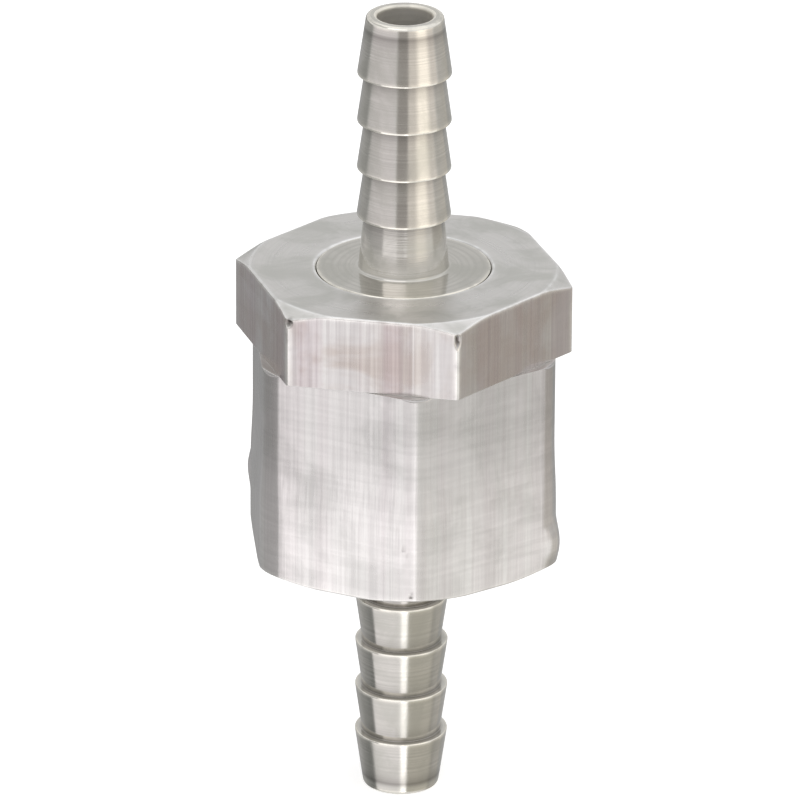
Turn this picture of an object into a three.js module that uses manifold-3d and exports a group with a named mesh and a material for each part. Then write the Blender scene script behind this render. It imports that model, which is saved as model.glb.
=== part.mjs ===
// In-line one-way valve for a carbon dioxide line: a hexagonal cap screwed on a tall hexagonal body,
// a hose barb in each end, and a spring-loaded poppet inside. Gas flows up, from -Z to +Z.
// Millimetres, +Z along the flow. The origin is on the axis, midway between the hose ends.
import * as THREE from 'three';
import { mergeVertices } from 'three/addons/utils/BufferGeometryUtils.js';
import Module from 'manifold-3d';

const wasm = await Module();
wasm.setup();

// Fits and facets
const SEGMENTS = 48; // flats round a turned piece
const RING_SIDES = 8; // sides of an O-ring's section
const FIT = 0.03; // radial gap of a pressed or screwed joint
const RUNNING = 0.05; // radial gap of a sliding stem

// Body halves
const BODY_HALF = 11.05; // from the middle to each hexagonal end face
const HEX_HEIGHT = 5.7; // of the cap's flange and of the lower half's thicker end
const SEAM = BODY_HALF - HEX_HEIGHT;
const BAR = { acrossFlats: 22, corner: 0.3 }; // drawn bar and the rounding of its upright edges
const MIDDLE = { acrossFlats: 21.6, corner: 2.4 }; // the lower half, milled and well rounded
const END = { acrossFlats: 22, corner: 3 }; // its inlet end, a little thicker
const LOWER_TURN = -13.2; // degrees: where the lower half came tight on its thread
const END_CHAMFER = { radius: 11.35, slope: 0.46 }; // outlet end face
const SHOULDER = { radius: 11.2, slope: 0.4 }; // top of the middle, under the flange
const END_SHOULDER = { radius: 12, slope: 0.6 }; // top of the end's corners
const INLET_CHAMFER = { radius: 11.05, slope: 0.42 }; // inlet end face
const SLOT = { inner: 8.3, outer: 9.75, bottom: -0.65 }; // in the lower half, for the cap's skirt
const SKIRT = { inner: 8.4, outer: 9.7, bottom: 0.8 };
const TOWER_TOP = 4.5; // of the wall between the slot and the chamber
const ROOF = 4.8; // of the cap's inside at the skirt
const CEILING = 5.6; // and at the gas passage
const BODY_SEAL = { section: 0.68, height: 0.05 };
const CHAMBER_RADIUS = 6;

// Hose barbs
const BARB_LENGTH = 19.62; // from the end face to the hose end
const GAS_RADIUS = 2.07;
const TIP_RADIUS = 2.83;
const RIDGE_RADIUS = 3.46;
const ROOT_RADIUS = 2.95;
const NECK_RADIUS = 3.35;
const FIRST_RIDGE = 4.45; // from the hose end
const RIDGE_PITCH = 3.67;
const RIDGES = 4;
const CREST = 0.12; // straight land on a ridge
const LIP = 0.22; // rounding of the hose end
const DISC_RADIUS = 6.4;
const DISC_POCKET = 6.5;
const DISC_HEIGHT = 1.8;
const DISC_CHAMFER = 0.15;
const SHANK_RADIUS = 4;
const SHANK_END = 4.4; // depth of the shank's end below the end face
const BARB_SEAL = { outer: 5.75, height: 0.85, radius: 4.85, section: 0.4 };

// Valve
const SEAT_TOP = -3.5;
const SEAT = { outer: 4.6, inner: 2.4, mouth: 3.2, height: 1.6 };
const STEM_RADIUS = 1;
const STEM_TOP = 4.8;
const POPPET_SEAL = { radius: 2.4, section: 0.54 };
const HEAD = { radius: 3.7, bottom: -2.92, top: -1.93, boss: 1.9, bossTop: -1.35 };
const NOSE = { radius: 2.15, tip: 1.2, groove: 1.83, top: -4.08, shoulder: -4.35, end: -4.95 };
const GUIDE = { radius: 6.85, bottom: 2.4, top: 3.3, hub: 1.75, hubBottom: 1.4 };
const GUIDE_HOLES = { count: 6, radius: 1.15, circle: 4.3 };
const CIRCLIP = { outer: 7.28, inner: 6.35, bottom: 3.35, top: 3.95, gap: 24 };
const CIRCLIP_LUG = { radius: 0.85, circle: 6.2, angle: 33, hole: 0.35 };
const CIRCLIP_GROOVE = { radius: 7.35, bottom: 3.3, top: 4.0 };
const SPRING = { radius: 2.4, wire: 0.2, turns: 5.5, deadTurns: 1, steps: 88 };

const bodyMetal = { color: 0xb9b7b4, roughness: 0.38, metalness: 1 };
const barbMetal = { color: 0xc9c4bb, roughness: 0.2, metalness: 1 };
const brass = { color: 0xc8a45c, roughness: 0.3, metalness: 1 };
const springSteel = { color: 0x9c9c9e, roughness: 0.3, metalness: 1 };
const sealRubber = { color: 0x1c1c1e, roughness: 0.75, metalness: 0 };
const seatPlastic = { color: 0xe9e7e0, roughness: 0.5, metalness: 0 };

const degrees = THREE.MathUtils.degToRad;

/** An outline of [radius, height] points turned about the Z axis. It closes on itself or ends on the axis. */
function turned(outline, segments = SEGMENTS) {
  const points = outline.map(([radius, height]) => new THREE.Vector2(radius, height));
  if (outline[0][0] > 0) points.push(points[0].clone());
  return new THREE.LatheGeometry(points, segments).rotateX(Math.PI / 2);
}

/** A geometry as a manifold solid, with shared vertices merged and triangles without area left out. */
function solid(geometry) {
  const bare = new THREE.BufferGeometry();
  bare.setAttribute('position', geometry.getAttribute('position'));
  bare.setIndex(geometry.getIndex());
  const merged = mergeVertices(bare, 1e-4);
  const index = merged.getIndex().array;
  const kept = [];
  for (let i = 0; i < index.length; i += 3) {
    const [a, b, c] = index.slice(i, i + 3);
    if (a !== b && b !== c && c !== a) kept.push(a, b, c);
  }
  const vertProperties = new Float32Array(merged.getAttribute('position').array);
  return new wasm.Manifold(new wasm.Mesh({ numProp: 3, vertProperties, triVerts: new Uint32Array(kept) }));
}

/** A manifold solid as a geometry. */
function geometryOf(body) {
  const mesh = body.getMesh();
  const geometry = new THREE.BufferGeometry();
  geometry.setAttribute('position', new THREE.BufferAttribute(mesh.vertProperties, 3));
  geometry.setIndex(new THREE.BufferAttribute(mesh.triVerts, 1));
  return geometry;
}

/** A round rod along Z, for joining and cutting. */
function rod(radius, bottom, top, x = 0, y = 0, segments = 24) {
  const shape = new THREE.CylinderGeometry(radius, radius, top - bottom, segments).rotateX(Math.PI / 2);
  return solid(shape.translate(x, y, (bottom + top) / 2));
}

/** A hexagonal prism with rounded upright edges. At a turn of 0 two of its flats face -Y and +Y. */
function hexPrism({ acrossFlats, corner }, bottom, top, turn) {
  const reach = (acrossFlats / 2 - corner) / Math.cos(degrees(30));
  const shape = new THREE.Shape();
  for (let i = 0; i < 6; i++) {
    const angle = degrees(60 * i + turn);
    const x = reach * Math.cos(angle);
    const y = reach * Math.sin(angle);
    shape.absarc(x, y, corner, angle - degrees(30), angle + degrees(30));
  }
  const options = { depth: top - bottom, bevelEnabled: false, curveSegments: 5 };
  return solid(new THREE.ExtrudeGeometry(shape, options).translate(0, 0, bottom));
}

/** How far a conical chamfer has fallen at the radius of the envelope. */
const ENVELOPE = 13;
const fall = (chamfer) => (ENVELOPE - chamfer.radius) * chamfer.slope;

/** Half-section of the pocket, gas passage and seal groove for a barb, from the end face inwards. */
function barbPocket() {
  const floor = BODY_HALF - DISC_HEIGHT;
  return [
    [DISC_POCKET + DISC_CHAMFER, BODY_HALF],
    [DISC_POCKET, BODY_HALF - DISC_CHAMFER],
    [DISC_POCKET, floor],
    [BARB_SEAL.outer, floor],
    [BARB_SEAL.outer, floor - BARB_SEAL.height],
    [SHANK_RADIUS + FIT, floor - BARB_SEAL.height],
    [SHANK_RADIUS + FIT, BODY_HALF - SHANK_END],
    [GAS_RADIUS, BODY_HALF - SHANK_END],
  ];
}

/** The outlet half: a hexagonal flange with a threaded skirt under it. */
function upperBody() {
  const flange = hexPrism(BAR, SEAM, BODY_HALF, 0).intersect(solid(turned([
    [0, SEAM],
    [ENVELOPE, SEAM],
    [ENVELOPE, BODY_HALF - fall(END_CHAMFER)],
    [END_CHAMFER.radius, BODY_HALF],
    [0, BODY_HALF],
  ])));
  const skirt = rod(SKIRT.outer, SKIRT.bottom, BODY_HALF - HEX_HEIGHT / 2, 0, 0, SEGMENTS);
  const hollow = solid(turned([
    [0, SKIRT.bottom - 1],
    [SKIRT.inner, SKIRT.bottom - 1],
    [SKIRT.inner, ROOF],
    [GAS_RADIUS, CEILING],
    ...barbPocket().reverse(),
    [DISC_POCKET + DISC_CHAMFER, BODY_HALF + 1],
    [0, BODY_HALF + 1],
  ]));
  return geometryOf(flange.add(skirt).subtract(hollow));
}

/** The inlet half: a tall rounded hexagon with a slot for the skirt, the chamber and the seat's pocket. */
function lowerBody() {
  const middle = hexPrism(MIDDLE, -BODY_HALF + HEX_HEIGHT / 2, SEAM, LOWER_TURN).intersect(solid(turned([
    [0, -BODY_HALF],
    [ENVELOPE, -BODY_HALF],
    [ENVELOPE, SEAM - fall(SHOULDER)],
    [SHOULDER.radius, SEAM],
    [0, SEAM],
  ])));
  const end = hexPrism(END, -BODY_HALF, -SEAM, LOWER_TURN).intersect(solid(turned([
    [0, -BODY_HALF],
    [INLET_CHAMFER.radius, -BODY_HALF],
    [ENVELOPE, fall(INLET_CHAMFER) - BODY_HALF],
    [ENVELOPE, -SEAM - fall(END_SHOULDER)],
    [END_SHOULDER.radius, -SEAM],
    [0, -SEAM],
  ])));
  const slot = solid(turned([
    [0, TOWER_TOP],
    [SLOT.inner, TOWER_TOP],
    [SLOT.inner, SLOT.bottom],
    [SLOT.outer, SLOT.bottom],
    [SLOT.outer, SEAM + 1],
    [0, SEAM + 1],
  ]));
  const hollow = solid(turned([
    [0, -BODY_HALF - 1],
    [DISC_POCKET + DISC_CHAMFER, -BODY_HALF - 1],
    ...barbPocket().map(([radius, height]) => [radius, -height]),
    [GAS_RADIUS, SEAT_TOP - SEAT.height],
    [SEAT.outer + FIT, SEAT_TOP - SEAT.height],
    [SEAT.outer + FIT, SEAT_TOP],
    [CHAMBER_RADIUS, SEAT_TOP],
    [CHAMBER_RADIUS, GUIDE.bottom],
    [GUIDE.radius + RUNNING, GUIDE.bottom],
    [GUIDE.radius + RUNNING, CIRCLIP_GROOVE.bottom],
    [CIRCLIP_GROOVE.radius, CIRCLIP_GROOVE.bottom],
    [CIRCLIP_GROOVE.radius, CIRCLIP_GROOVE.top],
    [GUIDE.radius + RUNNING, CIRCLIP_GROOVE.top],
    [GUIDE.radius + RUNNING, TOWER_TOP + 1],
    [0, TOWER_TOP + 1],
  ]));
  return geometryOf(middle.add(end).subtract(slot).subtract(hollow));
}

/** A hose barb with its flush disc and shank. Its end face is at z = 0 and it points along +Z. */
function hoseBarb() {
  const outline = [
    [GAS_RADIUS, -SHANK_END],
    [SHANK_RADIUS, -SHANK_END],
    [SHANK_RADIUS, -DISC_HEIGHT],
    [DISC_RADIUS, -DISC_HEIGHT],
    [DISC_RADIUS, -DISC_CHAMFER],
    [DISC_RADIUS - DISC_CHAMFER, 0],
    [NECK_RADIUS, 0],
  ];
  for (let i = RIDGES - 1; i >= 0; i--) {
    const shoulder = BARB_LENGTH - FIRST_RIDGE - i * RIDGE_PITCH;
    outline.push([ROOT_RADIUS, shoulder], [RIDGE_RADIUS, shoulder], [RIDGE_RADIUS, shoulder + CREST]);
  }
  outline.push(
    [TIP_RADIUS, BARB_LENGTH - LIP],
    [TIP_RADIUS - LIP * 0.3, BARB_LENGTH - LIP * 0.3],
    [TIP_RADIUS - LIP, BARB_LENGTH],
    [GAS_RADIUS + LIP, BARB_LENGTH],
    [GAS_RADIUS, BARB_LENGTH - LIP],
  );
  return turned(outline);
}

/** An O-ring about Z. */
function sealRing({ radius, section }, height) {
  const outline = [];
  for (let i = 0; i < RING_SIDES; i++) {
    const angle = degrees((360 * i) / RING_SIDES);
    outline.push([radius + section * Math.cos(angle), height + section * Math.sin(angle)]);
  }
  return turned(outline);
}

/** The pressed-in seat ring, with a conical mouth for the poppet's seal. */
function valveSeat() {
  const bottom = SEAT_TOP - SEAT.height;
  return turned([
    [SEAT.inner, bottom],
    [SEAT.outer, bottom],
    [SEAT.outer, SEAT_TOP],
    [SEAT.mouth, SEAT_TOP],
    [SEAT.inner, SEAT_TOP - (SEAT.mouth - SEAT.inner)],
  ]);
}

/** The poppet: nose, seal groove, head, spring boss and guide stem. */
function poppet() {
  const stemChamfer = 0.2;
  return turned([
    [0, NOSE.end],
    [NOSE.tip, NOSE.end],
    [NOSE.radius, NOSE.shoulder],
    [NOSE.radius, NOSE.top],
    [NOSE.groove, NOSE.top],
    [NOSE.groove, HEAD.bottom],
    [HEAD.radius, HEAD.bottom],
    [HEAD.radius, HEAD.top],
    [HEAD.boss, HEAD.top],
    [HEAD.boss, HEAD.bossTop],
    [STEM_RADIUS, HEAD.bossTop],
    [STEM_RADIUS, STEM_TOP - stemChamfer],
    [STEM_RADIUS - stemChamfer, STEM_TOP],
    [0, STEM_TOP],
  ]);
}

/** The guide: a disc with gas holes round a hub that the stem slides in. */
function stemGuide() {
  let disc = solid(turned([
    [STEM_RADIUS + RUNNING, GUIDE.hubBottom],
    [GUIDE.hub, GUIDE.hubBottom],
    [GUIDE.hub, GUIDE.bottom],
    [GUIDE.radius, GUIDE.bottom],
    [GUIDE.radius, GUIDE.top],
    [STEM_RADIUS + RUNNING, GUIDE.top],
  ]));
  const { count, radius, circle } = GUIDE_HOLES;
  for (let i = 0; i < count; i++) {
    const angle = degrees((360 * i) / count);
    const [x, y] = [circle * Math.cos(angle), circle * Math.sin(angle)];
    disc = disc.subtract(rod(radius, GUIDE.bottom - 1, GUIDE.top + 1, x, y));
  }
  return geometryOf(disc);
}

/** The internal retaining ring: an open ring with an eyed lug at each end. */
function guideCirclip() {
  const { outer, inner, bottom, top, gap } = CIRCLIP;
  const shape = new THREE.Shape();
  shape.absarc(0, 0, outer, degrees(gap), degrees(360 - gap), false);
  shape.absarc(0, 0, inner, degrees(360 - gap), degrees(gap), true);
  const options = { depth: top - bottom, bevelEnabled: false, curveSegments: SEGMENTS };
  let ring = solid(new THREE.ExtrudeGeometry(shape, options).translate(0, 0, bottom));
  for (const side of [-1, 1]) {
    const angle = degrees(side * CIRCLIP_LUG.angle);
    const [x, y] = [CIRCLIP_LUG.circle * Math.cos(angle), CIRCLIP_LUG.circle * Math.sin(angle)];
    ring = ring.add(rod(CIRCLIP_LUG.radius, bottom, top, x, y));
    ring = ring.subtract(rod(CIRCLIP_LUG.hole, bottom - 1, top + 1, x, y, 12));
  }
  return geometryOf(ring);
}

/** The centre line of a compression spring with closed end turns. */
class SpringPath extends THREE.Curve {
  constructor(bottom, top) {
    super();
    this.bottom = bottom;
    this.top = top;
  }

  getPoint(t, target = new THREE.Vector3()) {
    const { radius, wire, turns, deadTurns } = SPRING;
    const turn = t * turns;
    const dead = wire * 2.1; // pitch of the closed turns
    const open = (this.top - this.bottom - 2 * deadTurns * dead) / (turns - 2 * deadTurns);
    const low = Math.min(turn, deadTurns) * dead;
    const middle = THREE.MathUtils.clamp(turn - deadTurns, 0, turns - 2 * deadTurns) * open;
    const high = Math.max(turn - (turns - deadTurns), 0) * dead;
    const angle = 2 * Math.PI * turn;
    return target.set(radius * Math.cos(angle), radius * Math.sin(angle), this.bottom + low + middle + high);
  }
}

/** The spring between the poppet's head and the guide. */
function poppetSpring() {
  const clear = SPRING.wire + 0.02;
  const section = new THREE.Shape();
  section.absarc(0, 0, SPRING.wire, 0, 2 * Math.PI);
  const extrudePath = new SpringPath(HEAD.top + clear, GUIDE.bottom - clear);
  const options = { steps: SPRING.steps, curveSegments: 4, bevelEnabled: false, extrudePath };
  return new THREE.ExtrudeGeometry(section, options);
}

const valve = new THREE.Group();

/** Adds a named piece with its own material. */
function piece(name, geometry, finish) {
  const mesh = new THREE.Mesh(geometry, new THREE.MeshStandardMaterial(finish));
  mesh.name = name;
  valve.add(mesh);
  return mesh;
}

piece('upper_body', upperBody(), bodyMetal);
piece('lower_body', lowerBody(), bodyMetal);
const slotMiddle = (SLOT.inner + SLOT.outer) / 2;
piece('body_seal', sealRing({ radius: slotMiddle, section: BODY_SEAL.section }, BODY_SEAL.height), sealRubber);

// The inlet barb and its seal are the outlet ones turned end for end.
for (const [end, side] of [['outlet', 1], ['inlet', -1]]) {
  const barb = piece(`${end}_barb`, hoseBarb(), barbMetal);
  const seal = piece(`${end}_barb_seal`, sealRing(BARB_SEAL, -DISC_HEIGHT - BARB_SEAL.height / 2), sealRubber);
  for (const mesh of [barb, seal]) {
    mesh.position.z = side * BODY_HALF;
    mesh.rotation.x = side > 0 ? 0 : Math.PI;
  }
}

piece('valve_seat', valveSeat(), seatPlastic);
piece('poppet', poppet(), brass);
piece('poppet_seal', sealRing(POPPET_SEAL, (HEAD.bottom + NOSE.top) / 2), sealRubber);
piece('poppet_spring', poppetSpring(), springSteel);
piece('stem_guide', stemGuide(), brass);
piece('guide_circlip', guideCirclip(), springSteel);

export default valve;
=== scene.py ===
"""Builds the fine surfaces, finishes and studio of an in-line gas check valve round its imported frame."""

import math

import bpy
import numpy as np
from mathutils import Matrix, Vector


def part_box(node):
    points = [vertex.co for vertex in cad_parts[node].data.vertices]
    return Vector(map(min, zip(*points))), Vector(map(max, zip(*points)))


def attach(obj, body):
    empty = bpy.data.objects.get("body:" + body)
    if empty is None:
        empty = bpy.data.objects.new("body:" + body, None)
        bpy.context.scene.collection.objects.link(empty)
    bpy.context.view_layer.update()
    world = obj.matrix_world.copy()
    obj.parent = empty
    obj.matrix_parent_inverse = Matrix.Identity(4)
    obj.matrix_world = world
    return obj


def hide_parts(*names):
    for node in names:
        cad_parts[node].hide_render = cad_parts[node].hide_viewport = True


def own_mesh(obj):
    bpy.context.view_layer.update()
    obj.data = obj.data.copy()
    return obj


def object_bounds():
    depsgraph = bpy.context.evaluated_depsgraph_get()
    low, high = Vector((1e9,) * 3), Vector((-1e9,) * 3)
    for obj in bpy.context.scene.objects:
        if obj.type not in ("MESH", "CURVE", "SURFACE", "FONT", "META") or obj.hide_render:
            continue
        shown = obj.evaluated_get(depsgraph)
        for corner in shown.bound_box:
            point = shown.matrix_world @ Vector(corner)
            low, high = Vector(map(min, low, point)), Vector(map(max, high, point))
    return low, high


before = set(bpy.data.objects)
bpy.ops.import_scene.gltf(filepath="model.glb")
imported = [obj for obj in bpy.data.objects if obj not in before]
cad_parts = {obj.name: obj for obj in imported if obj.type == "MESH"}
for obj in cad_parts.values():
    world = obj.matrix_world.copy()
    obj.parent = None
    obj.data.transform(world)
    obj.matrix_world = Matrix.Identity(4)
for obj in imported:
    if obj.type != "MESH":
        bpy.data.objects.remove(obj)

bl_info = {
    "name": "Gas Check Valve",
    "version": (1, 0, 0),
    "blender": (4, 5, 0),
    "location": "3D View > Sidebar > Check Valve",
    "description": "Models an in-line one-way gas valve with hexagonal halves and ribbed hose barbs",
    "category": "Add Mesh",
}

MM = 0.001
CAD_BOX = [list(corner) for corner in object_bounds()]
UPPER_LOW, UPPER_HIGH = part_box("upper_body")
_, LOWER_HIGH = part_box("lower_body")
BARB_LOW, BARB_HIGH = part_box("outlet_barb")
GUIDE_LOW, GUIDE_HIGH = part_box("stem_guide")
CLIP_LOW, CLIP_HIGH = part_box("guide_circlip")
SEAT_LOW, SEAT_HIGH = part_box("valve_seat")
POPPET_LOW, POPPET_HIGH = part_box("poppet")
SPRING_LOW, SPRING_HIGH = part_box("poppet_spring")

FIXED = "valve_body"
MOVING = "poppet_group"
BODY_HALF = UPPER_HIGH.z
SEAM = LOWER_HIGH.z
SKIRT_BOTTOM = UPPER_LOW.z
# How far the lightening of edges reaches, for scuffing and as a painted highlight.
WEAR_AND_HIGHLIGHT_REACH = 0.09 * MM

# Material slots of a body half's mesh
FLATS, END_FACE, MIDDLE, INSIDE = range(4)


# ---------------------------------------------------------------- settings

def length(name, description, default):
    """A distance in metres that a user may change."""
    return bpy.props.FloatProperty(
        name=name, description=description, default=default, unit="LENGTH", subtype="DISTANCE", precision=5
    )


def factor(name, description, default):
    """A plain number from 0 to 1."""
    return bpy.props.FloatProperty(
        name=name, description=description, default=default, min=0, max=1, subtype="FACTOR"
    )


def degrees(name, description, default):
    """An angle, given here in degrees."""
    return bpy.props.FloatProperty(
        name=name, description=description, default=math.radians(default), unit="ROTATION", subtype="ANGLE"
    )


def colour(name, description, default):
    """A linear colour."""
    return bpy.props.FloatVectorProperty(
        name=name, description=description, default=default, size=3, min=0, max=1, subtype="COLOR"
    )


class ValveBodySettings(bpy.types.PropertyGroup):
    """Sizes of the two hexagonal halves."""

    across_flats: length("Across flats", "Spanner size of flange and end", UPPER_HIGH.y - UPPER_LOW.y)
    corner_radius: length("Corner radius", "Rounding of the bar's upright edges", 0.3 * MM)
    middle_across: length("Middle across flats", "Size of the milled middle", 21.6 * MM)
    middle_corner: length("Middle corner radius", "Rounding of the middle's upright edges", 2.4 * MM)
    lower_turn: degrees("Inlet half's turn", "Angle between the two halves", -13.2)
    end_corner: length("End corner radius", "Rounding of the inlet end's upright edges", 3.0 * MM)
    end_blend: length("End blend", "Height over which the end's flats draw in", 3.8 * MM)
    swelling: length("Swelling", "How far two corners of the inlet end bulge out", 0.4 * MM)
    end_height: length("End height", "Height of the full-size inlet end", 5.7 * MM)
    edge_break: length("Edge break", "Size of the broken edges", 0.1 * MM)
    outlet_chamfer: length("Outlet chamfer radius", "Where the outlet end's chamfer starts", 11.35 * MM)
    outlet_slope: factor("Outlet chamfer slope", "Fall of the outlet end's chamfer", 0.46)
    inlet_chamfer: length("Inlet chamfer radius", "Where the inlet end's chamfer starts", 11.05 * MM)
    inlet_slope: factor("Inlet chamfer slope", "Fall of the inlet end's chamfer", 0.42)
    shoulder: length("Shoulder radius", "Radius of the middle's top under the flange", 11.9 * MM)
    shoulder_fall: length("Shoulder fall", "Height of the shoulder's cone at the corners", 0.1 * MM)
    skirt_radius: length("Skirt radius", "Crest of the skirt's thread", 9.68 * MM)
    skirt_inner: length("Skirt inner radius", "Inside of the skirt", 8.4 * MM)
    slot_inner: length("Slot inner radius", "Inner wall of the slot for the skirt", 8.3 * MM)
    slot_bottom: length("Slot floor", "Height of the slot's floor", -0.65 * MM)
    tower_top: length("Tower top", "Top of the wall round the chamber", 4.5 * MM)
    thread_pitch: length("Thread pitch", "Rise of the thread in one turn", 0.75 * MM)
    thread_depth: length("Thread depth", "Depth of the thread", 0.4 * MM)
    disc_pocket: length("Disc pocket radius", "Recess for a barb's flush disc", 6.47 * MM)


class ValveBarbSettings(bpy.types.PropertyGroup):
    """Sizes of the hose barbs."""

    barb_length: length("Barb length", "From the end face to the hose end", BARB_HIGH.z - BODY_HALF)
    gas_radius: length("Gas passage radius", "Radius of the hole", 2.07 * MM)
    tip_radius: length("Tip radius", "Radius at the hose end", 2.83 * MM)
    ridge_radius: length("Ridge radius", "Radius of each ridge", 3.46 * MM)
    root_radius: length("Root radius", "Radius behind each ridge", 2.95 * MM)
    neck_radius: length("Neck radius", "Radius where the barb meets its disc", 3.35 * MM)
    first_ridge: length("First ridge", "From the hose end to the first ridge", 4.45 * MM)
    ridge_pitch: length("Ridge pitch", "Distance between ridges", 3.67 * MM)
    ridges: bpy.props.IntProperty(name="Ridges", description="Ridges on a barb", default=4, min=1)
    lip: length("Lip rounding", "Rounding of the hose end", 0.2 * MM)
    disc_radius: length("Disc radius", "Radius of the flush disc", 6.43 * MM)
    disc_height: length("Disc height", "Thickness of the flush disc", 1.8 * MM)
    shank_radius: length("Shank radius", "Radius of the pressed shank", 4.0 * MM)


class ValveFinishSettings(bpy.types.PropertyGroup):
    """Base colours of the finishes."""

    body: colour("Body metal", "Drawn and turned bar", (0.80, 0.785, 0.77))
    barb: colour("Barb metal", "Bright turned barbs", (0.72, 0.70, 0.66))
    brass: colour("Brass", "Poppet and guide", (0.72, 0.50, 0.20))
    steel: colour("Spring steel", "Spring and circlip", (0.46, 0.46, 0.47))
    rubber: colour("Rubber", "Seals", (0.018, 0.018, 0.019))
    plastic: colour("Seat plastic", "White seat ring", (0.78, 0.77, 0.73))


class ValveStudioSettings(bpy.types.PropertyGroup):
    """The camera and the floor."""

    azimuth: degrees("Camera azimuth", "Turn of the camera round the valve", 11.79)
    elevation: degrees("Camera elevation", "Height angle of the camera", 22.71)
    roll: degrees("Camera roll", "Lean of the camera", 0.326)
    distance: length("Camera distance", "From the aim point to the camera", 618.2 * MM)
    aim_height: length("Aim height", "Height of the aim point on the axis", 0.337 * MM)
    aim_side: length("Aim offset", "Sideways offset of the aim point", -0.208 * MM)
    lens: bpy.props.FloatProperty(
        name="Lens", description="Focal length in millimetres", default=375.7, subtype="DISTANCE_CAMERA"
    )
    floor_half: length("Floor half width", "Half the floor's side", 4.0)


# ---------------------------------------------------------------- surfaces

def spaced(count):
    """Shares from 0 up to 1, without it, crowded near both ends: half of one less the cosine."""
    return 0.5 - 0.5 * np.cos(np.pi * np.arange(count) / count)


def carried(corners, closed=True, steps=5):
    """Rows of a profile that is carried round the axis.

    corners holds (radius, height, rounding, rows, finish, worn) for each corner, where radius and height are
    numbers or one value for each column, and worn is how strongly the corner's edge is lightened for
    scuffing and as a painted highlight. Each corner is a quadratic curve between the points that lie the
    rounding away from it on
    its two sides: (1-t)^2 A + 2t(1-t) P + t^2 B. rows more rows lead on to the next corner. Returns radius
    and height by row and column, the rows' finishes, and how near they are to these scuffed and highlighted
    edges.
    """
    columns = max(np.size(v) for corner in corners for v in corner[:2])
    points = np.array([[np.broadcast_to(r, columns), np.broadcast_to(z, columns)] for r, z, *_ in corners])
    last = len(corners) - 1
    rows, finishes, wear_and_highlight = [], [], []
    joins = []
    for i, (_, _, rounding, _, _, _) in enumerate(corners):
        sides = []
        for j in (i - 1, i + 1):
            open_end = not closed and (j < 0 or j > last)
            away = points[j % len(corners)] - points[i]
            reach = np.linalg.norm(away, axis=0)
            cut = 0 if open_end else np.minimum(rounding, 0.45 * reach) / np.maximum(reach, 1e-9)
            sides.append(points[i] + cut * away)
        joins.append(sides)
    for i, (_, _, _, count, finish, edge_wear_and_highlight) in enumerate(corners):
        before, after = joins[i]
        pole = not closed and i in (0, last)
        for t in [0.5] if pole else np.linspace(0, 1, steps):
            rows.append((1 - t) ** 2 * before + 2 * t * (1 - t) * points[i] + t * t * after)
            finishes.append(finish)
            wear_and_highlight.append(np.broadcast_to(float(edge_wear_and_highlight) if np.isscalar(edge_wear_and_highlight) else edge_wear_and_highlight, columns))
        if not closed and i == last:
            break
        following = joins[(i + 1) % len(corners)][0]
        span = np.linalg.norm(following - after, axis=0)
        next_edge_wear_and_highlight = corners[(i + 1) % len(corners)][5]
        for t in spaced(count + 1)[1:]:
            rows.append(after + t * (following - after))
            finishes.append(finish)
            near = np.exp(-t * span / WEAR_AND_HIGHLIGHT_REACH) * edge_wear_and_highlight
            far = np.exp(-(1 - t) * span / WEAR_AND_HIGHLIGHT_REACH) * next_edge_wear_and_highlight
            wear_and_highlight.append(np.maximum(near, far))
    rows = np.array(rows)
    return rows[:, 0], rows[:, 1], np.array(finishes), np.array(wear_and_highlight)


def turned_points(radius, height, angles):
    """Points of a carried profile: (r cos a, r sin a, z)."""
    shape = (len(radius), len(angles))
    radius = np.broadcast_to(radius, shape)
    height = np.broadcast_to(height, shape)
    return np.stack([radius * np.cos(angles), radius * np.sin(angles), height], axis=-1)


def round_angles(count):
    """Equal steps round a full turn."""
    return np.arange(count) * (2 * math.pi / count)


def grid_faces(rows, columns, closed):
    """Quads between neighbouring rows and columns, and the fans at both poles.

    Columns wrap. Rows wrap too when closed, and otherwise end in a pole at each end.
    """
    if closed:
        index = np.arange(rows * columns).reshape(rows, columns)
        low, high = index, np.roll(index, -1, axis=0)
        return np.stack([low, np.roll(low, -1, 1), np.roll(high, -1, 1), high], -1).reshape(-1, 4), None
    inner = np.arange((rows - 2) * columns).reshape(rows - 2, columns) + 1
    low, high = inner[:-1], inner[1:]
    quads = np.stack([low, np.roll(low, -1, 1), np.roll(high, -1, 1), high], -1).reshape(-1, 4)
    top = (rows - 2) * columns + 1
    first, final = inner[0], inner[-1]
    bottom_fan = np.stack([np.zeros_like(first), np.roll(first, -1), first], -1)
    top_fan = np.stack([np.full_like(final, top), final, np.roll(final, -1)], -1)
    return quads, np.concatenate([bottom_fan, top_fan])


def surface_mesh(name, points, closed=True, finishes=None, attributes=None):
    """A smooth mesh from a grid of points, with its faces turned outwards."""
    rows, columns = points.shape[:2]
    quads, fans = grid_faces(rows, columns, closed)
    flat = points.reshape(-1, 3)
    kept = np.arange(rows * columns)
    if not closed:
        kept = np.concatenate([[0], kept[columns:-columns], [rows * columns - 1]])
        flat = flat[kept]
    corners = flat[quads]
    volume = np.einsum("ij,ij->", corners[:, 0], np.cross(corners[:, 1], corners[:, 2]))
    volume += np.einsum("ij,ij->", corners[:, 0], np.cross(corners[:, 2], corners[:, 3]))
    faces = [quads] if fans is None else [quads, fans]
    if volume < 0:
        faces = [group[:, ::-1] for group in faces]
    mesh = bpy.data.meshes.new(name)
    mesh.from_pydata(flat.tolist(), [], [face for group in faces for face in group.tolist()])
    mesh.polygons.foreach_set("use_smooth", np.ones(len(mesh.polygons), bool))
    if finishes is not None:
        mesh.polygons.foreach_set("material_index", np.repeat(finishes, columns).astype(np.int32))
    for key, values in (attributes or {}).items():
        layer = mesh.attributes.new(key, "FLOAT", "POINT")
        spread = np.broadcast_to(values, (rows, columns)).reshape(-1)
        layer.data.foreach_set("value", spread[kept].astype(np.float32))
    mesh.update()
    return mesh


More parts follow.
